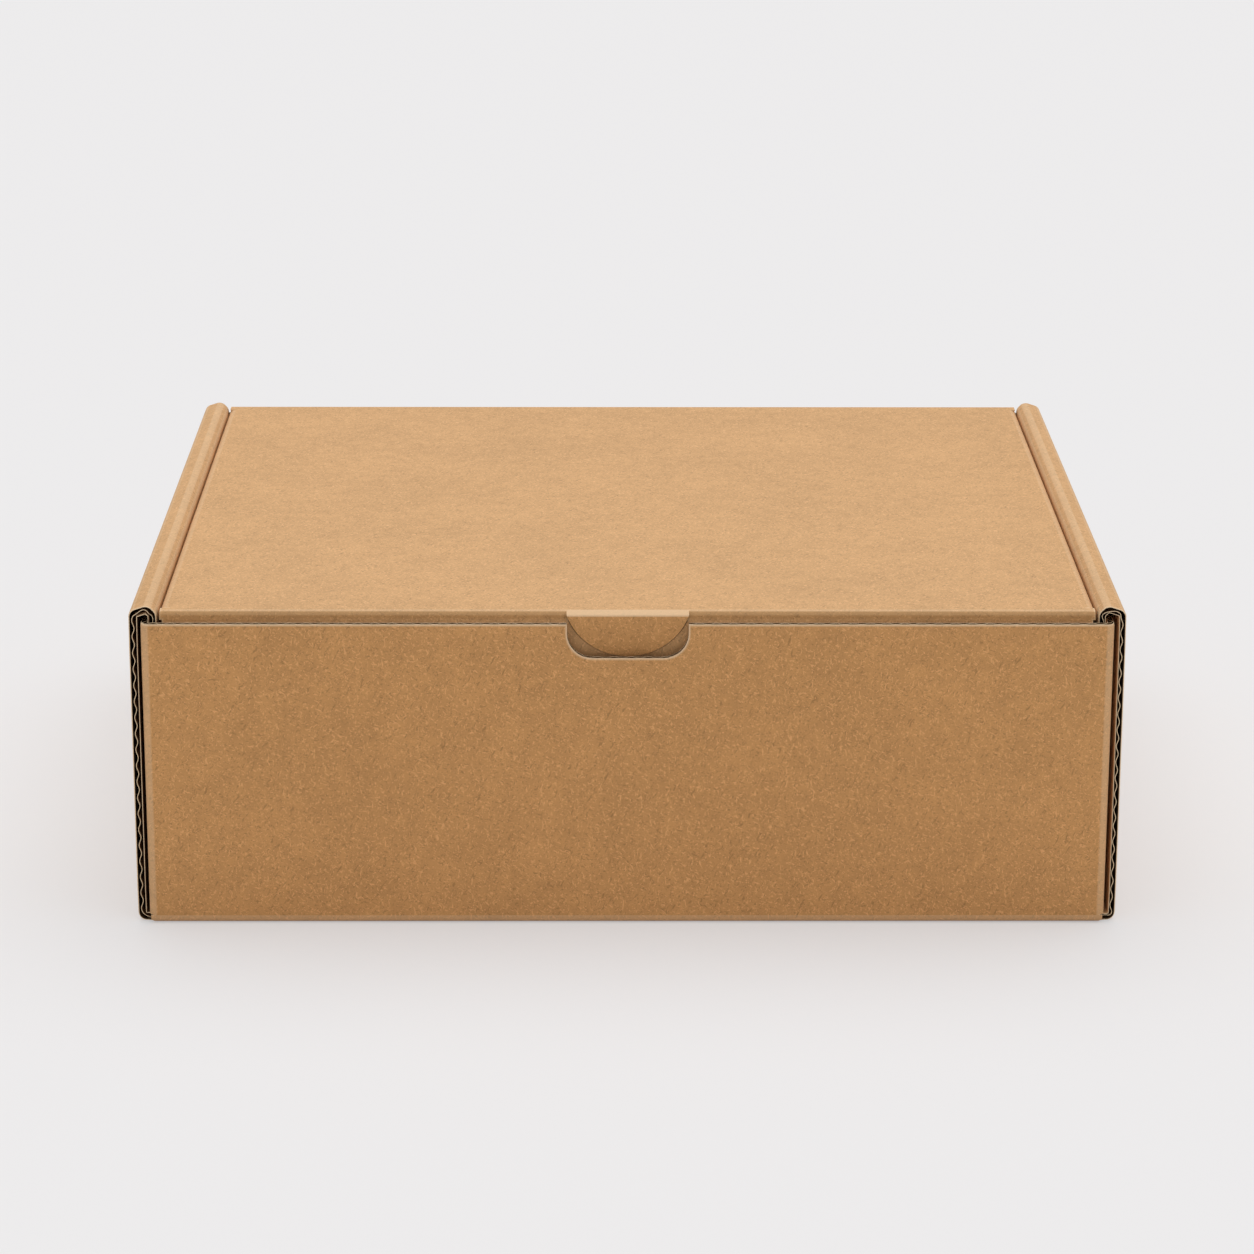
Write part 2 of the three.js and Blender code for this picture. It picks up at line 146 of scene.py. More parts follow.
def layer(line, along, start, end, thickness, outward, planes=()):
    """One paper layer: its line pulled out along an axis, trimmed by planes and given its thickness."""
    sheet = bmesh.new()
    verts = [sheet.verts.new(at(point, along, start)) for point in line]
    edges = [sheet.edges.new(pair) for pair in zip(verts, verts[1:])]
    pulled = bmesh.ops.extrude_edge_only(sheet, edges=edges)["geom"]
    pulled = [g for g in pulled if isinstance(g, bmesh.types.BMVert)]
    bmesh.ops.translate(sheet, verts=pulled, vec=at((0, 0), along, end - start))
    sheet.normal_update()
    wear_and_highlight = sheet.verts.layers.float.new("wear_and_highlight")
    # Fold arcs are painted lighter: partly crease wear, partly a painted highlight
    for vert in sheet.verts:
        if sum(edge.calc_length() < FOLD_STEP_MOST for edge in vert.link_edges) == 2:
            vert[wear_and_highlight] = FOLD_WEAR_AND_HIGHLIGHT
    way = (line[1] - line[0]).normalized()
    first = at(line[0], along, (start + end) / 2)
    face = min(sheet.faces, key=lambda f: (f.calc_center_median() - first).length)
    if face.normal.dot(at((-way.y * outward, way.x * outward), along, 0)) < 0:
        bmesh.ops.reverse_faces(sheet, faces=sheet.faces)
    for place, normal in planes:
        geom = [*sheet.verts, *sheet.edges, *sheet.faces]
        bmesh.ops.bisect_plane(sheet, geom=geom, plane_co=place, plane_no=normal, clear_outer=True)
    drawn = set(sheet.verts)
    bmesh.ops.solidify(sheet, geom=sheet.faces[:], thickness=thickness)
    for face in sheet.faces:
        kept = sum(vert in drawn for vert in face.verts)
        face.material_index = FACE if kept == len(face.verts) else INSIDE if kept == 0 else CUT
    bmesh.ops.recalc_face_normals(sheet, faces=sheet.faces)
    return sheet


def flute_layer(line, along, start, end, planes=()):
    """The medium between the liners, with near-black painted shade on both its faces."""
    sheet = layer(line, along, start, end, MEDIUM, 1, planes)
    for face in sheet.faces:
        if face.material_index == FACE:
            face.material_index = INSIDE
    return sheet


def board(name, corners, along, start, end, planes=(), wave=WAVE, shift=0.0, flutes=True,
          outer=None, middle=None):
    """A folded stretch of board: outer liner, inner liner and the medium, wavy where it runs across."""
    layers = [
        layer(outer or folded_line(corners, -half_board), along, start, end, LINER, -1, planes),
        layer(folded_line(corners, half_board), along, start, end, LINER, 1, planes),
    ]
    middle = middle or folded_line(corners, 0)
    if flutes:
        middle = wavy_line(middle, wave, shift + MEDIUM / 2)
    layers.append(flute_layer(middle, along, start, end, planes))
    mesh = bpy.data.meshes.new(name)
    whole = bmesh.new()
    for sheet in layers:
        sheet.to_mesh(mesh)
        whole.from_mesh(mesh)
        sheet.free()
    whole.to_mesh(mesh)
    whole.free()
    piece = bpy.data.objects.new(name, mesh)
    bpy.context.scene.collection.objects.link(piece)
    return piece


def cutter(outline, along, start, end):
    """A closed outline pulled out along an axis, to cut a piece with."""
    tool = bmesh.new()
    face = tool.faces.new([tool.verts.new(at(point, along, start)) for point in outline])
    pulled = bmesh.ops.extrude_face_region(tool, geom=[face])["geom"]
    pulled = [g for g in pulled if isinstance(g, bmesh.types.BMVert)]
    bmesh.ops.translate(tool, verts=pulled, vec=at((0, 0), along, end - start))
    bmesh.ops.recalc_face_normals(tool, faces=tool.faces)
    for face in tool.faces:
        face.material_index = CUT
    mesh = bpy.data.meshes.new("cutter")
    tool.to_mesh(mesh)
    tool.free()
    result = bpy.data.objects.new("cutter", mesh)
    bpy.context.scene.collection.objects.link(result)
    return result


def block_cutter(low, high):
    """A plain block to cut a piece with."""
    outline = [(low[0], low[1]), (high[0], low[1]), (high[0], high[1]), (low[0], high[1])]
    return cutter(outline, "z", low[2], high[2])


def open_slots(mesh):
    """Empty material slots for a board's face, inside and cut, so that its indices are kept."""
    while len(mesh.materials) <= CUT:
        mesh.materials.append(None)


def cut_out(piece, cutters, keep=False):
    """Cuts the shapes of the cutters out of a piece, or keeps only what lies in them."""
    open_slots(piece.data)
    for tool in cutters:
        open_slots(tool.data)
        cut = piece.modifiers.new("cut", "BOOLEAN")
        cut.operation = "INTERSECT" if keep else "DIFFERENCE"
        cut.solver, cut.object = "EXACT", tool
        cut.material_mode = "INDEX"
    done = piece.evaluated_get(bpy.context.evaluated_depsgraph_get())
    mesh = bpy.data.meshes.new_from_object(done)
    piece.modifiers.clear()
    old = piece.data
    piece.data = mesh
    bpy.data.meshes.remove(old)
    for tool in cutters:
        bpy.data.objects.remove(tool)


FIBRE_BEND = 0.0016
BEND_SCALE = 340
FIBRE_LENGTH = 5.5
FINE_FIBRE = 1500
COARSE_FIBRE = 1250
BROAD_SCALE = 26
BROAD_SHARE = 0.4
CLOUD_SCALE = 150
CLOUD_SHARE = 0.6
GRAIN_SCALE = 700
GRAIN_HEIGHT = 0.8
DARK_DEPTH = 0.7


def kraft_fibres():
    """Kraft paper's look: cloudy colour, with short curved fibres, lighter and darker than the rest."""
    group = bpy.data.node_groups.new("kraft_fibres", "ShaderNodeTree")
    for name in ("Paper", "Light Fibre", "Dark Fibre"):
        group.interface.new_socket(name=name, in_out="INPUT", socket_type="NodeSocketColor")
    for name in ("Cloud", "Fibres"):
        group.interface.new_socket(name=name, in_out="INPUT", socket_type="NodeSocketFloat")
    group.interface.new_socket(name="Color", in_out="OUTPUT", socket_type="NodeSocketColor")
    group.interface.new_socket(name="Height", in_out="OUTPUT", socket_type="NodeSocketFloat")
    nodes, links = group.nodes, group.links
    given, out = nodes.new("NodeGroupInput"), nodes.new("NodeGroupOutput")
    place = nodes.new("ShaderNodeTexCoord").outputs["Object"]

    def noise(vector, scale, detail, roughness=0.5):
        node = nodes.new("ShaderNodeTexNoise")
        node.inputs["Scale"].default_value = scale
        node.inputs["Detail"].default_value = detail
        node.inputs["Roughness"].default_value = roughness
        links.new(vector, node.inputs["Vector"])
        return node.outputs

    def level(value, low, high):
        node = nodes.new("ShaderNodeMapRange")
        node.interpolation_type = "SMOOTHSTEP"
        node.inputs["From Min"].default_value = low
        node.inputs["From Max"].default_value = high
        links.new(value, node.inputs["Value"])
        return node.outputs["Result"]

    def math_node(kind, first, second):
        node = nodes.new("ShaderNodeMath")
        node.operation = kind
        for socket, value in zip(node.inputs, (first, second)):
            if isinstance(value, float):
                socket.default_value = value
            else:
                links.new(value, socket)
        return node.outputs[0]

    def mix(factor, first, second):
        node = nodes.new("ShaderNodeMix")
        node.data_type = "RGBA"
        links.new(factor, node.inputs["Factor"])
        links.new(first, node.inputs["A"])
        links.new(second, node.inputs["B"])
        return node.outputs["Result"]

    bend = nodes.new("ShaderNodeVectorMath")
    bend.operation = "SCALE"
    bend.inputs["Scale"].default_value = FIBRE_BEND
    links.new(noise(place, BEND_SCALE, 1)["Color"], bend.inputs[0])
    curved = nodes.new("ShaderNodeVectorMath")
    curved.operation = "ADD"
    links.new(place, curved.inputs[0])
    links.new(bend.outputs[0], curved.inputs[1])

    def strands(turn, low, high, scale=FINE_FIBRE):
        """Thin marks along one direction."""
        laid = nodes.new("ShaderNodeMapping")
        laid.vector_type = "TEXTURE"
        laid.inputs["Rotation"].default_value = turn
        laid.inputs["Scale"].default_value = (FIBRE_LENGTH, 1, 1)
        links.new(curved.outputs[0], laid.inputs["Vector"])
        return level(noise(laid.outputs[0], scale, 1)["Fac"], low, high)

    light = strands((0.3, 0.5, 0.4), 0.60, 0.74)
    light = math_node("MAXIMUM", light, strands((0.9, -0.6, -0.8), 0.60, 0.74))
    light = math_node("MAXIMUM", light, strands((-0.4, 1.2, 1.5), 0.61, 0.75, COARSE_FIBRE))
    dark = strands((0.7, -0.2, 1.0), 0.60, 0.76)
    dark = math_node("MAXIMUM", dark, strands((-0.8, 0.4, -0.5), 0.60, 0.76))
    dark = math_node("MAXIMUM", dark, strands((0.2, -1.1, 0.2), 0.61, 0.76, COARSE_FIBRE))

    broad = level(noise(place, BROAD_SCALE, 3, 0.55)["Fac"], 0.30, 0.70)
    cloud = level(noise(place, CLOUD_SCALE, 4, 0.6)["Fac"], 0.28, 0.72)
    broad = math_node("MULTIPLY", broad, BROAD_SHARE)
    cloud = math_node("MULTIPLY", cloud, CLOUD_SHARE)
    shade = math_node("ADD", broad, cloud)
    shade = math_node("SUBTRACT", shade, 0.5)
    shade = math_node("MULTIPLY_ADD", shade, given.outputs["Cloud"])
    shade.node.inputs[2].default_value = 1.0
    clouded = nodes.new("ShaderNodeVectorMath")
    clouded.operation = "SCALE"
    links.new(given.outputs["Paper"], clouded.inputs[0])
    links.new(shade, clouded.inputs["Scale"])

    dark_share = math_node("MULTIPLY", dark, given.outputs["Fibres"])
    light_share = math_node("MULTIPLY", light, given.outputs["Fibres"])
    color = mix(dark_share, clouded.outputs[0], given.outputs["Dark Fibre"])
    color = mix(light_share, color, given.outputs["Light Fibre"])
    links.new(color, out.inputs["Color"])
    height = math_node("SUBTRACT", light, math_node("MULTIPLY", dark, DARK_DEPTH))
    grain = math_node("MULTIPLY", noise(place, GRAIN_SCALE, 3)["Fac"], GRAIN_HEIGHT)
    height = math_node("ADD", height, grain)
    links.new(height, out.inputs["Height"])
    return group


FIBRES = kraft_fibres()
# Painted shade: the walls, bottom panel and thumb tab take a darker, more saturated copy of the lid's
# kraft, though all are one board
SHADED_WALL_KRAFT = (0.612, 0.316, 0.118, 1)
CUT_KRAFT = (0.900, 0.680, 0.440, 1)
# Painted highlight colour on crushed cut edges and the tab's top edge; on fold arcs it is partly crease
# wear
WORN_AND_HIGHLIT_KRAFT = (0.860, 0.620, 0.390, 1)
# Painted shade colour, multiplied in by the shade attribute on the lid's front fold facet, tuck flap and
# thumb tab
SHADE_TONE = (0.70, 0.62, 0.50, 1)
# Painted shade: near-black medium and inner liner faces to darken the open flutes, far darker than the
# paper is
SHADED_FLUTE_KRAFT = (0.150, 0.075, 0.030, 1)
PAPER_ROUGHNESS = 0.82
PAPER_SHEEN = 0.25
PAPER_BUMP = 0.25
PAPER_GRAIN = 0.00012
LIGHT_FIBRE = 1.32
LIGHT_FIBRE_MORE = 0.03
DARK_FIBRE = 0.62


def kraft(name, paper, cloud=0.19, fibres=0.75, worn_and_highlit=WORN_AND_HIGHLIT_KRAFT):
    """A liner's brown kraft face, with painted highlight on cut edges, crease wear and painted highlight on
    folds, and painted shade.
    """
    material = bpy.data.materials.new(name)
    material.use_nodes = True
    nodes, links = material.node_tree.nodes, material.node_tree.links
    skin = nodes["Principled BSDF"]
    skin.inputs["Roughness"].default_value = PAPER_ROUGHNESS
    skin.inputs["Specular IOR Level"].default_value = PAPER_SHEEN
    look = nodes.new("ShaderNodeGroup")
    look.node_tree = FIBRES
    look.inputs["Paper"].default_value = paper
    light = [min(c * LIGHT_FIBRE + LIGHT_FIBRE_MORE, 1) for c in paper[:3]]
    look.inputs["Light Fibre"].default_value = (*light, 1)
    look.inputs["Dark Fibre"].default_value = (*(c * DARK_FIBRE for c in paper[:3]), 1)
    look.inputs["Cloud"].default_value = cloud
    look.inputs["Fibres"].default_value = fibres
    wear_and_highlight = nodes.new("ShaderNodeAttribute")
    wear_and_highlight.attribute_name = "wear_and_highlight"
    highlight_mix = nodes.new("ShaderNodeMix")
    highlight_mix.data_type = "RGBA"
    highlight_mix.inputs["B"].default_value = worn_and_highlit
    links.new(wear_and_highlight.outputs["Fac"], highlight_mix.inputs["Factor"])
    links.new(look.outputs["Color"], highlight_mix.inputs["A"])
    shade = nodes.new("ShaderNodeAttribute")
    shade.attribute_name = "shade"
    shaded = nodes.new("ShaderNodeMix")
    shaded.data_type, shaded.blend_type = "RGBA", "MULTIPLY"
    shaded.inputs["B"].default_value = SHADE_TONE
    links.new(shade.outputs["Fac"], shaded.inputs["Factor"])
    links.new(highlight_mix.outputs["Result"], shaded.inputs["A"])
    links.new(shaded.outputs["Result"], skin.inputs["Base Color"])
    bump = nodes.new("ShaderNodeBump")
    bump.inputs["Strength"].default_value = PAPER_BUMP
    bump.inputs["Distance"].default_value = PAPER_GRAIN
    links.new(look.outputs["Height"], bump.inputs["Height"])
    links.new(bump.outputs["Normal"], skin.inputs["Normal"])
    return material


shaded_wall_kraft = kraft("shaded_wall_kraft", SHADED_WALL_KRAFT)
cut_kraft = kraft("cut_kraft", CUT_KRAFT, fibres=0.5, worn_and_highlit=CUT_KRAFT)
shaded_flute_kraft = kraft("shaded_flute_kraft", SHADED_FLUTE_KRAFT, worn_and_highlit=SHADED_FLUTE_KRAFT)


def finish_board(piece, face_material, body, seams=(), painted_light_at=None, crush=True):
    """Crushes cut edges and paints a highlight on them, but not the seams where the sheet goes on in the
    next piece.

    It also gives the piece its painted shade and highlight, its materials, slot and body.
    """
    mesh = piece.data
    bm = bmesh.new()
    bm.from_mesh(mesh)
    bmesh.ops.remove_doubles(bm, verts=bm.verts, dist=1e-7)
    bm.normal_update()
    outer = [face for face in bm.faces if face.material_index == FACE]
    if crush:
        bmesh.ops.inset_region(bm, faces=outer, thickness=CRUSHED_EDGE, use_boundary=True,
                               use_even_offset=True)
    bm.normal_update()
    wear_and_highlight = bm.verts.layers.float.get("wear_and_highlight") or bm.verts.layers.float.new("wear_and_highlight")
    shade = bm.verts.layers.float.get("shade") or bm.verts.layers.float.new("shade")
    edge = {}
    for vert in bm.verts:
        kinds = {face.material_index for face in vert.link_faces}
        if painted_light_at and FACE in kinds:
            vert[shade], vert[wear_and_highlight], plain = painted_light_at(vert.co, vert[wear_and_highlight])
            if plain:
                continue
        if not crush or any(abs(abs(vert.co[axis]) - place) < SEAM_PLAY for axis, place in seams):
            continue
        # Painted highlight on the crushed band along each cut edge
        if FACE in kinds and CUT in kinds:
            normal = sum((f.normal for f in vert.link_faces if f.material_index == FACE), Vector())
            edge[vert] = normal.normalized()
            vert[wear_and_highlight] = 1.0
    for vert, normal in edge.items():
        vert.co -= normal * CRUSH_DEPTH
    bm.to_mesh(mesh)
    bm.free()
    open_slots(mesh)
    for i, material in enumerate((face_material, shaded_flute_kraft, cut_kraft)):
        mesh.materials[i] = material
    mesh.shade_smooth()
    mesh.set_sharp_from_angle(angle=SHARP_ANGLE)
    if body:
        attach(piece, body)


BOTTOM_CHAMFER = 0.0015
bottom = board("bottom_panel", [
    (-wall_y, FLAP_BOTTOM),
    (-wall_y, half_board),
    (wall_y, half_board),
    (wall_y, FLAP_BOTTOM),
], "x", -bottom_end, bottom_end,
    planes=[((side * (bottom_end - BOTTOM_CHAMFER), 0, 0), (side, 0, -1)) for side in (-1, 1)],
    flutes=False)
TAB_PLACE = 0.075
TAB_HALF = 0.020
SLOT_PLAY = 0.0004
slot_half = TAB_HALF + SLOT_PLAY
slot_reach = half_board + SLOT_PLAY
slots = []
for side in (-1, 1):
    for end in (-1, 1):
        near, far = sorted((side * (inner_x - slot_reach), side * (inner_x + slot_reach)))
        slots.append(block_cutter((near, end * TAB_PLACE - slot_half, -BOARD),
                                  (far, end * TAB_PLACE + slot_half, 2 * BOARD)))
cut_out(bottom, slots)
finish_board(bottom, shaded_wall_kraft, "tray", crush=False)
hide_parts("tray")


# Front wall with its corner flaps
# It folds up from the bottom panel, and its flaps fold back inside the side walls. The finger notch is
# die-cut in its top edge, where the open flutes show.
FRONT_TOP = 0.1213
FLAP_END = 0.0800
FLAP_CORNER = 0.008
NOTCH_HALF = 0.0232
NOTCH_DEPTH = 0.0134
NOTCH_RADIUS = 0.0097


def flap_planes(top, end):
    """The planes that cut a corner flap's two far corners off."""
    return [
        ((0, end * (FLAP_END + FLAP_CORNER), top), (0, -end, 1)),
        ((0, end * (FLAP_END + FLAP_CORNER), FLAP_BOTTOM), (0, -end, -1)),
    ]


front = board("front_wall", [
    (-corner_x, -FLAP_END),
    (-corner_x, -wall_y),
    (corner_x, -wall_y),
    (corner_x, -FLAP_END),
], "z", FLAP_BOTTOM, FRONT_TOP, planes=flap_planes(FRONT_TOP, -1))
notch_outline = folded_line([
    (-NOTCH_HALF, FRONT_TOP + BOARD),
    (-NOTCH_HALF, FRONT_TOP - NOTCH_DEPTH, NOTCH_RADIUS),
    (NOTCH_HALF, FRONT_TOP - NOTCH_DEPTH, NOTCH_RADIUS),
    (NOTCH_HALF, FRONT_TOP + BOARD),
], 0)
cut_out(front, [cutter(notch_outline, "y", -wall_y - BOARD, -wall_y + BOARD)])
finish_board(front, shaded_wall_kraft, "tray", seams=[(2, FLAP_BOTTOM)])


# Back wall with its corner flaps
# It stands as the front wall does, without a notch. Its middle goes over into the lid's fold.
BACK_TOP = 0.1221
FOLD_FOOT = 0.1170
LID_EASE = 0.0005
strip_half = lid_high.x - LID_EASE
back = board("back_wall", [
    (corner_x, FLAP_END),
    (corner_x, wall_y),
    (-corner_x, wall_y),
    (-corner_x, FLAP_END),
], "z", FLAP_BOTTOM, BACK_TOP, planes=flap_planes(BACK_TOP, 1))
cut_out(back, [block_cutter((-strip_half, wall_y - 2 * BOARD, FOLD_FOOT),
                            (strip_half, wall_y + 2 * BOARD, BACK_TOP + BOARD))])
finish_board(back, shaded_wall_kraft, "tray", seams=[(2, FLAP_BOTTOM), (2, FOLD_FOOT)])


# Double side walls
# Each goes up from the bottom panel, over a raised rim and down again inside, over the corner flaps.
# Two tabs on its lower edge lock it in the bottom panel's slots.
RIM_OUTER_CREASE = 0.12465
RIM_INNER_CREASE = 0.12645
RIM_BEVEL = 0.0022
SIDE_BOW = 0.0006
BOW_RADIUS = 5.0
TAB_END = 0.0004
SIDE_WAVE = 0.00042
SIDE_WAVE_SHIFT = 0.00028
LID_KRAFT = (0.665, 0.392, 0.186, 1)
lid_kraft = kraft("lid_kraft", LID_KRAFT)


def two_sides(corners):
    """The same section for the left side: mirrored, and drawn the other way round."""
    return [(-corner[0], *corner[1:]) for corner in reversed(corners)]


side_section = [
    (bottom_end, half_board),
    (side_x, half_board),
    (side_x + SIDE_BOW, RIM_OUTER_CREASE / 2, BOW_RADIUS),
    (side_x, RIM_OUTER_CREASE),
    (inner_x + RIM_BEVEL, RIM_INNER_CREASE),
    (inner_x, RIM_INNER_CREASE - RIM_BEVEL),
    (inner_x, TAB_END),
]
for name, side in (("right_side_wall", 1), ("left_side_wall", -1)):
    section = side_section if side > 0 else two_sides(side_section)
    wall = board(name, section, "y", -side_end, side_end, wave=SIDE_WAVE, shift=SIDE_WAVE_SHIFT)
    edges = [-side_end - BOARD, -TAB_PLACE - TAB_HALF, -TAB_PLACE + TAB_HALF,
             TAB_PLACE - TAB_HALF, TAB_PLACE + TAB_HALF, side_end + BOARD]
    near, far = sorted((side * (inner_x - BOARD), side * (inner_x + BOARD)))
    cut_out(wall, [block_cutter((near, start, -BOARD), (far, end, BOARD + LAYER_GAP))
                   for start, end in zip(edges[::2], edges[1::2])])
    finish_board(wall, lid_kraft, "tray", seams=[(0, bottom_end)])


# Lid panel with its tuck flap
# The lid turns at the back wall's top fold and lies between the two rims. Its tuck flap goes down behind
# the front wall, and a curved slit sets the thumb tab free from it.
lid_top = 0.1253
lid_z = lid_top - half_board
LID_BACK = 0.1567
TUCK_LEAN = math.radians(4.6)
TUCK_DEPTH = 0.044
EAR_START = 0.1740
EAR_FOLD_FRONT = -0.1555
tuck_y = -(wall_y - BOARD - LAYER_GAP)
CREASE_BACK = 0.0016
CREASE_DROP = 0.0030
CREASE_RADIUS = 0.0016
CREASE_REACH = 0.006
tuck_end = (tuck_y + (TUCK_DEPTH - half_board) * math.tan(TUCK_LEAN), lid_top - TUCK_DEPTH)
TUCK_EASE = 0.0015
tuck_half = lid_high.x - TUCK_EASE
TUCK_CORNER = 0.012
THUMB_RADIUS = 0.0248
THUMB_RISE = 0.007
THUMB_TOP = 0.0008
THUMB_SLIT = 0.0004
THUMB_STEPS = 32
SLIT_RISE = 0.0024
# Painted shade on the steep facet below the lid's front crease and on the tuck flap
SHADED_FACET_BACK = 0.0012
TONE_PLAY = 0.0004
TUCK_SHADE = 0.55
lean = Matrix.Translation((0, tuck_y, lid_z)) @ Matrix.Rotation(TUCK_LEAN, 4, "X") @ \
    Matrix.Translation((0, -tuck_y, -lid_z))


def lid_painted_light(place, worn_and_highlit):
    """Painted shade, wear and highlight, and whether an edge stays plain; shade is painted on the fold
    facet and tuck flap.
    """
    if place.y > tuck_y + CREASE_REACH:
        return 0.0, worn_and_highlit, False
    if place.z < BACK_TOP - TONE_PLAY:
        return TUCK_SHADE, worn_and_highlit, abs(place.x) < THUMB_RADIUS + CRUSHED_EDGE
    shaded_facet = place.z < lid_top - TONE_PLAY and place.y < tuck_y + SHADED_FACET_BACK
    return (1.0 if shaded_facet else 0.0), worn_and_highlit, False


def thumb_outline(spread):
    """The half-moon of the thumb tab, its round edge moved in or out by half the slit."""
    radius = THUMB_RADIUS + spread
    centre = lid_top + THUMB_RISE
    top = lid_top - THUMB_TOP + (SLIT_RISE if spread > 0 else 0.0)
    start = math.asin((centre - top) / radius)
    disc = bmesh.new()
    rim = [disc.verts.new((radius * math.cos(start), -radius * math.sin(start), 0))]
    bmesh.ops.spin(disc, geom=rim, axis=(0, 0, 1), cent=(0, 0, 0), angle=-(math.pi - 2 * start),
                   steps=THUMB_STEPS)
    points = [(vert.co.x, centre + vert.co.y) for vert in disc.verts]
    disc.free()
    return points


lid = board("lid_panel", [
    (LID_BACK, lid_z),
    (tuck_y + CREASE_BACK, lid_z, CREASE_RADIUS),
    (tuck_y + CREASE_DROP * math.tan(TUCK_LEAN), lid_z - CREASE_DROP),
    tuck_end,
], "x", -strip_half, strip_half, flutes=False, middle=[
    Vector((LID_BACK, lid_z)),
    Vector((tuck_y + CREASE_REACH, lid_z)),
])
tuck_line = wavy_line([Vector((-tuck_half, tuck_y)), Vector((tuck_half, tuck_y))], WAVE, MEDIUM / 2)
upright = flute_layer(tuck_line, "z", lid_top - TUCK_DEPTH, lid_z - 2 * CREASE_DROP)
upright.transform(lean)
upright.from_mesh(lid.data)
upright.to_mesh(lid.data)
upright.free()
slit = cutter(thumb_outline(THUMB_SLIT / 2), "y", tuck_y - BOARD, tuck_y + 2 * BOARD)
slit.data.transform(lean)
cut_out(slit, [block_cutter((-1, -1, BACK_TOP), (1, 1, 1))])
trims = [slit]
for side in (-1, 1):
    near, far = sorted((side * EAR_START, side * (lid_high.x + BOARD)))
    trims.append(block_cutter((near, EAR_FOLD_FRONT, lid_z - BOARD),
                              (far, LID_BACK + BOARD, lid_z + BOARD)))
    low = lid_top - TUCK_DEPTH
    trims.append(cutter([
        (side * (tuck_half + BOARD), BACK_TOP),
        (side * tuck_half, BACK_TOP),
        (side * tuck_half, low + TUCK_CORNER),
        (side * (tuck_half - TUCK_CORNER), low),
        (side * (tuck_half - TUCK_CORNER), low - BOARD),
        (side * (tuck_half + BOARD), low - BOARD),
    ], "y", tuck_y - 2 * BOARD, tuck_y + 4 * BOARD))
cut_out(lid, trims)
finish_board(lid, lid_kraft, "lid", seams=[(0, EAR_START), (1, LID_BACK)], painted_light_at=lid_painted_light)
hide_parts("lid")


# Thumb tab
# The half-moon that the slit sets free. It stands a little proud of the tuck flap, and its top edge shows
# in the finger notch.
THUMB_PROUD = 0.0007
TAB_CREASE_RADIUS = 0.0007
TAB_DROP = 0.030
TAB_LINER_BACK = 0.0021
TAB_LINER_DROP = 0.00022
# Painted highlight on the tab's top edge, and painted shade growing down the tab
TAB_HIGHLIGHT = 0.7
TAB_SHADE = 0.45
tab_y = tuck_y - THUMB_PROUD
tab_low = lid_top - TAB_DROP
thumb_half = THUMB_RADIUS * math.cos(math.asin((THUMB_RISE + THUMB_TOP) / THUMB_RADIUS))


def tab_painted_light(place, worn_and_highlit):
    """The tab's top edge gets a painted highlight, its round edge is plain, and painted shade grows
    downwards.
    """
    drop = lid_top - THUMB_TOP - place.z
    depth = min(max(drop / (THUMB_RADIUS - THUMB_RISE), 0.0), 1.0)
    return TAB_SHADE * depth, TAB_HIGHLIGHT if drop < TAB_CREASE_RADIUS else 0.0, True


thumb = board("thumb_tab", [
    (tab_y, BACK_TOP),
    (tab_y, tab_low),
], "x", -THUMB_RADIUS, THUMB_RADIUS, flutes=False, outer=folded_line([
    (tuck_y + TAB_LINER_BACK, lid_top - TAB_LINER_DROP),
    (tab_y - half_board, lid_top - THUMB_TOP, TAB_CREASE_RADIUS),
    (tab_y - half_board, tab_low),
], 0))
moon = sorted(thumb_outline(-THUMB_SLIT / 2))
half_moon = [(-thumb_half, lid_top + BOARD), *moon, (thumb_half, lid_top + BOARD)]
cut_out(thumb, [cutter(half_moon, "y", tuck_y - 3 * BOARD, tuck_y + 3 * BOARD)], keep=True)
thumb.data.transform(lean)
finish_board(thumb, shaded_wall_kraft, "lid", painted_light_at=tab_painted_light, crush=False)


# Ears
# The lid's two side flaps, folded down and tucked in beside the inner side walls. Their lower corners are
# round, the front one more so.
EAR_HALF = 0.150
EAR_LOW = 0.0803
EAR_FRONT_RADIUS = 0.036
EAR_BACK_RADIUS = 0.020
EAR_FOLD_DROP = 0.0030
EAR_STEPS = 10
ear_x = lid_high.x - half_board
ear_section = [(ear_x, EAR_LOW), (ear_x, lid_z), (EAR_START, lid_z)]
for name, side in (("right_ear", 1), ("left_ear", -1)):
    section = ear_section if side > 0 else two_sides(ear_section)
    ear = board(name, section, "y", EAR_FOLD_FRONT, LID_BACK)
    near, far = sorted((side * (ear_x - BOARD), side * (ear_x + BOARD)))
    corners = [block_cutter((near, start, EAR_LOW - BOARD), (far, end, lid_z - EAR_FOLD_DROP))
               for start, end in ((EAR_FOLD_FRONT - BOARD, -EAR_HALF), (EAR_HALF, LID_BACK + BOARD))]
    for end, radius in ((-1, EAR_FRONT_RADIUS), (1, EAR_BACK_RADIUS)):
        quarter = bmesh.new()
        point = [quarter.verts.new((end * (EAR_HALF - radius), EAR_LOW, 0))]
        bmesh.ops.spin(quarter, geom=point, axis=(0, 0, 1), angle=end * math.pi / 2, steps=EAR_STEPS,
                       cent=(end * (EAR_HALF - radius), EAR_LOW + radius, 0))
        rounded = [(vert.co.x, vert.co.y) for vert in quarter.verts]
        quarter.free()
        rounded += [(end * (EAR_HALF + BOARD), rounded[-1][1]), (end * (EAR_HALF + BOARD), EAR_LOW - BOARD),
                    (rounded[0][0], EAR_LOW - BOARD)]
        corners.append(cutter(rounded, "x", near, far))
    cut_out(ear, corners)
    finish_board(ear, lid_kraft, "lid", seams=[(0, EAR_START), (1, LID_BACK)])


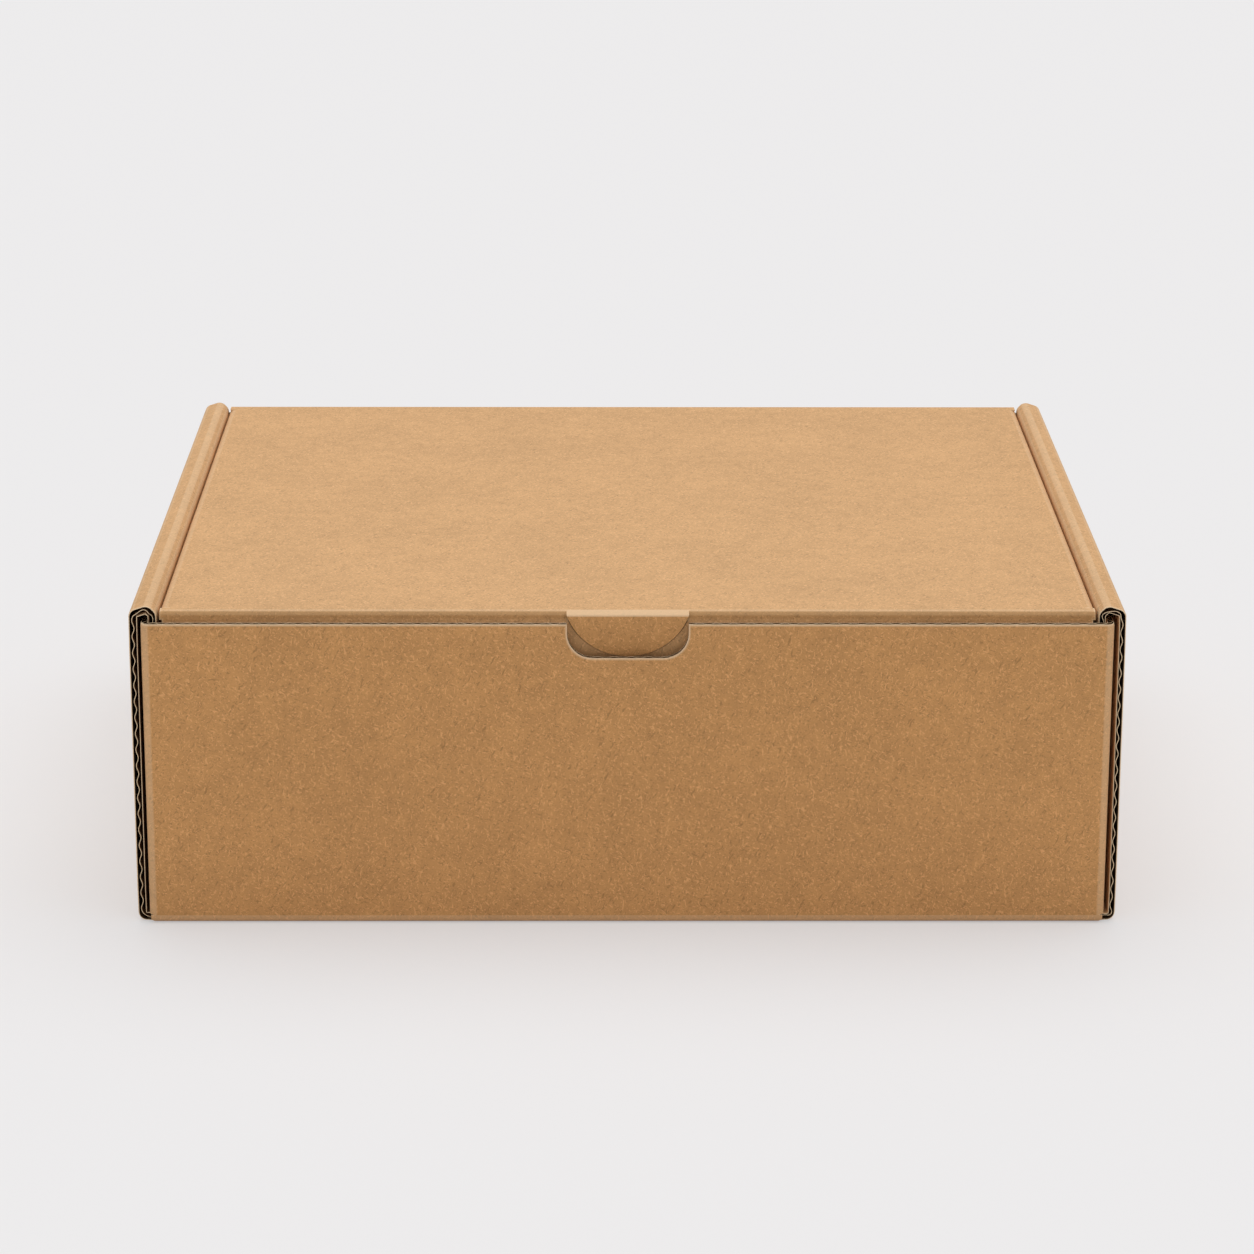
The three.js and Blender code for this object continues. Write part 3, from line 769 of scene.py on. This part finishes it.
# Lid fold
# The scored fold between the back wall and the lid, the same board without a cut. Its flutes are pressed
# flat along the score.
hinge = board("lid_fold", [
    (wall_y, FOLD_FOOT),
    (wall_y, lid_z),
    (LID_BACK, lid_z),
], "x", -strip_half, strip_half, flutes=False)
# Some of its inner faces show as stripes when the lid is open, so they have the liner's colour too
for face in hinge.data.polygons:
    if face.material_index == INSIDE:
        face.material_index = FACE
finish_board(hinge, lid_kraft, None, crush=False)
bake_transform(hinge)


# Floor and light
# A plain pale floor under soft, wide light from above, a little from behind.
FLOOR_HALF = 12
FLOOR_PAINT = (0.84, 0.83, 0.835, 1)
FLOOR_GLOW = (0.86, 0.85, 0.855, 1)
FLOOR_GLOW_SHARE = 0.45
ROOM_LIGHT = 0.45
TOP_LIGHT = 1.75
TOP_LIGHT_ANGLE = math.radians(80)
TOP_LIGHT_TURN = (math.radians(-10), math.radians(3), 0)
floor_mesh = bpy.data.meshes.new("floor")
ground = bmesh.new()
bmesh.ops.create_grid(ground, x_segments=1, y_segments=1, size=FLOOR_HALF)
ground.to_mesh(floor_mesh)
ground.free()
floor = bpy.data.objects.new("floor", floor_mesh)
bpy.context.scene.collection.objects.link(floor)
floor_paint = bpy.data.materials.new("floor_paint")
floor_paint.use_nodes = True
floor_skin = floor_paint.node_tree.nodes["Principled BSDF"]
floor_skin.inputs["Base Color"].default_value = FLOOR_PAINT
floor_skin.inputs["Roughness"].default_value = 0.9
floor_skin.inputs["Specular IOR Level"].default_value = 0.1
floor_nodes, floor_links = floor_paint.node_tree.nodes, floor_paint.node_tree.links
pale = floor_nodes.new("ShaderNodeEmission")
pale.inputs["Color"].default_value = FLOOR_GLOW
seen = floor_nodes.new("ShaderNodeLightPath")
share = floor_nodes.new("ShaderNodeMath")
share.operation = "MULTIPLY"
share.inputs[1].default_value = FLOOR_GLOW_SHARE
floor_links.new(seen.outputs["Is Camera Ray"], share.inputs[0])
floor_mix = floor_nodes.new("ShaderNodeMixShader")
floor_links.new(share.outputs[0], floor_mix.inputs["Fac"])
floor_links.new(floor_skin.outputs[0], floor_mix.inputs[1])
floor_links.new(pale.outputs[0], floor_mix.inputs[2])
floor_links.new(floor_mix.outputs[0], floor_nodes["Material Output"].inputs["Surface"])
floor_mesh.materials.append(floor_paint)

world = bpy.data.worlds.new("soft_room")
bpy.context.scene.world = world
world.use_nodes = True
world.node_tree.nodes["Background"].inputs["Color"].default_value = (1.0, 1.0, 1.0, 1)
world.node_tree.nodes["Background"].inputs["Strength"].default_value = ROOM_LIGHT

sun_data = bpy.data.lights.new("top_light", "SUN")
sun_data.energy = TOP_LIGHT
sun_data.angle = TOP_LIGHT_ANGLE
sun = bpy.data.objects.new("top_light", sun_data)
sun.rotation_euler = TOP_LIGHT_TURN
bpy.context.scene.collection.objects.link(sun)


# Camera
# Straight in front, a little above, looking down at the box as the photograph does.
LENS = 117.74
SENSOR = 36
YAW = math.radians(0.433)
PITCH = math.radians(17.006)
ROLL = math.radians(0.143)
CAMERA_PLACE = (-0.0116, -1.6558, 0.5764)
VIEW_END = 50
camera_data = bpy.data.cameras.new("camera")
camera_data.lens = LENS
camera_data.sensor_width = SENSOR
camera_data.clip_end = VIEW_END
camera = bpy.data.objects.new("camera", camera_data)
camera.matrix_world = (
    Matrix.Translation(CAMERA_PLACE)
    @ Matrix.Rotation(-YAW, 4, "Z")
    @ Matrix.Rotation(math.pi / 2 - PITCH, 4, "X")
    @ Matrix.Rotation(ROLL, 4, "Z")
)
bpy.context.scene.collection.objects.link(camera)
bpy.context.scene.camera = camera
bpy.context.scene.view_settings.view_transform = "Standard"
